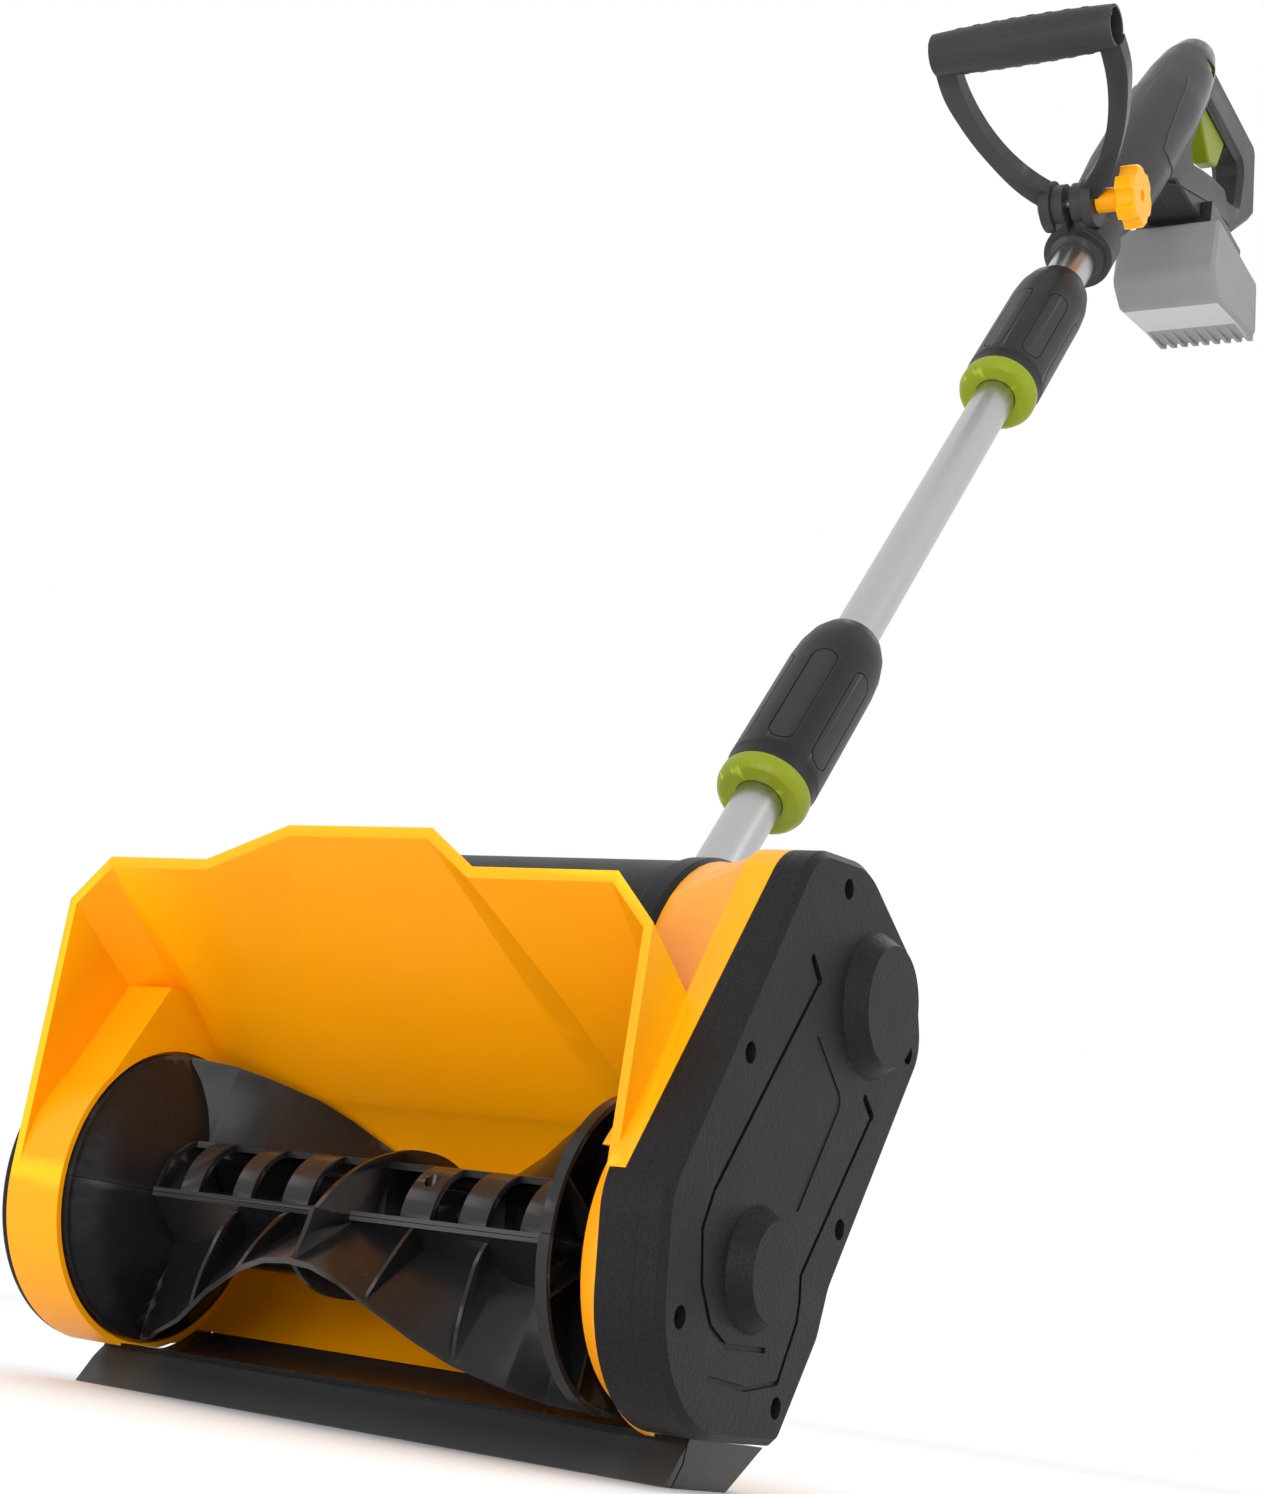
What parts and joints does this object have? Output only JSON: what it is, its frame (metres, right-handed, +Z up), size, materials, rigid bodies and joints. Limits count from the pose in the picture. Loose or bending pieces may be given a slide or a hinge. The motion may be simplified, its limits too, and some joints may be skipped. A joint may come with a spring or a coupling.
{
  "type": "cordless snow shovel",
  "caption": "Scoop-headed snow thrower on a telescopic pole: belt-driven rotor in a wide hood, tilting D-handle, and a pistol-grip rear handle with a slide-on battery.",
  "frame": {"origin": "middle of the flat underside of the scraper base, on the floor plane", "axes": "+X towards the belt drive, +Y back and along the pole towards the operator, +Z up"},
  "size_m": [0.348, 1.1059, 1.208],
  "materials": {
    "yellow_housing": "satin moulded yellow-orange plastic",
    "yellow_knob": "satin moulded yellow plastic",
    "black_gloss": "semi-gloss black plastic",
    "blade_edge": "semi-gloss black wear strip",
    "black_grained": "grained black plastic",
    "dark_grip": "fine-grained dark grey plastic",
    "soft_sleeve": "soft-touch dark grey sleeve",
    "clamp_nylon": "plain nylon",
    "pulley_plastic": "glass-filled nylon",
    "tube_aluminium": "satin drawn aluminium tube",
    "lime_control": "satin lime plastic",
    "battery_grey": "light grey plastic",
    "battery_button": "grey plastic",
    "cell_metal": "wrapped cell",
    "shaft_steel": "ground steel",
    "screw_steel": "zinc-plated steel",
    "motor_steel": "pressed steel can",
    "armature_iron": "stacked iron",
    "belt_rubber": "moulded rubber",
    "board_green": "circuit board",
    "terminal_brass": "bright blades"
  },
  "bodies": {
    "head": {"scoop_housing": "yellow_housing", "scraper_base": "black_gloss", "scraper_blade": "blade_edge", "left_side_cap": "black_grained", "rotor_bearings": "shaft_steel", "belt_casing": "black_grained", "belt_cover": "black_grained", "belt_cover_screws": "screw_steel", "drive_belt": "belt_rubber", "motor_can": "motor_steel", "motor_bearings": "shaft_steel", "motor_cover": "black_grained", "shaft_socket": "black_gloss", "socket_bolts": "screw_steel", "lower_tube": "tube_aluminium", "middle_tube": "tube_aluminium", "lower_sleeve": "soft_sleeve", "lower_collet": "clamp_nylon"},
    "lower_ring": {"lower_lock_ring": "lime_control"},
    "rotor": {"rotor_upper_half": "black_gloss", "rotor_lower_half": "black_gloss", "rotor_screws": "screw_steel", "rotor_shaft": "shaft_steel", "rotor_pulley": "pulley_plastic", "rotor_pulley_nut": "screw_steel"},
    "armature": {"motor_armature": "armature_iron", "motor_shaft": "shaft_steel", "cooling_fan": "clamp_nylon", "motor_pulley": "pulley_plastic", "motor_pulley_nut": "screw_steel"},
    "upper_pole": {"upper_tube": "tube_aluminium", "upper_sleeve": "soft_sleeve", "upper_collet": "clamp_nylon", "rear_handle_left": "dark_grip", "rear_handle_right": "dark_grip", "handle_screws": "screw_steel", "switch_module": "clamp_nylon", "control_board": "board_green", "battery_foot": "black_gloss", "battery_terminals": "terminal_brass", "clamp_collar": "dark_grip", "clamp_bolt": "screw_steel", "trigger_pin": "screw_steel"},
    "upper_ring": {"upper_lock_ring": "lime_control"},
    "front_handle": {"d_handle": "dark_grip"},
    "knob": {"clamp_knob": "yellow_knob"},
    "trigger": {"trigger": "lime_control"},
    "lockoff": {"lockoff_button": "lime_control"},
    "battery": {"battery_case": "battery_grey", "battery_cells": "cell_metal"},
    "release": {"battery_release": "battery_button"}
  },
  "joints": [
    {"name": "rotor_spin", "type": "hinge", "parent": "head", "child": "rotor", "pos_m": [0, -0.0273, 0.0854], "axis": [1, 0, 0], "continuous": true},
    {"name": "armature_spin", "type": "hinge", "parent": "head", "child": "armature", "pos_m": [0, 0.0511, 0.2062], "axis": [1, 0, 0], "continuous": true},
    {"name": "lower_ring_twist", "type": "hinge", "parent": "head", "child": "lower_ring", "pos_m": [0, 0.25703, 0.35954], "axis": [0, 0.575, 0.8181], "range_deg": [0, 120]},
    {"name": "pole_extend", "type": "slide", "parent": "head", "child": "upper_pole", "axis": [0, 0.575, 0.8181], "range_m": [-0.25, 0]},
    {"name": "upper_ring_twist", "type": "hinge", "parent": "upper_pole", "child": "upper_ring", "pos_m": [0, 0.51348, 0.72443], "axis": [0, 0.575, 0.8181], "range_deg": [0, 120]},
    {"name": "front_handle_tilt", "type": "hinge", "parent": "upper_pole", "child": "front_handle", "pos_m": [0, 0.60896, 0.92342], "axis": [1, 0, 0], "range_deg": [-50, 50]},
    {"name": "knob_turn", "type": "hinge", "parent": "upper_pole", "child": "knob", "pos_m": [0, 0.60896, 0.92342], "axis": [1, 0, 0], "range_deg": [0, 180]},
    {"name": "trigger_squeeze", "type": "hinge", "parent": "upper_pole", "child": "trigger", "pos_m": [0, 0.849, 1.16], "axis": [1, 0, 0], "range_deg": [0, 8], "stiffness_Nm_per_rad": 1.2, "springref_deg": -5.73},
    {"name": "lockoff_press", "type": "slide", "parent": "upper_pole", "child": "lockoff", "axis": [-1, 0, 0], "range_m": [0, 0.004], "stiffness_N_per_m": 300, "springref_m": -0.002},
    {"name": "battery_slide", "type": "slide", "parent": "upper_pole", "child": "battery", "axis": [0, 1, 0], "range_m": [0, 0.09]},
    {"name": "battery_release_press", "type": "slide", "parent": "battery", "child": "release", "axis": [0, -1, 0], "range_m": [0, 0.003], "stiffness_N_per_m": 400, "springref_m": -0.002}
  ],
  "couplings": [
    {"joint": "armature_spin", "follows": "rotor_spin", "ratio": 3}
  ]
}
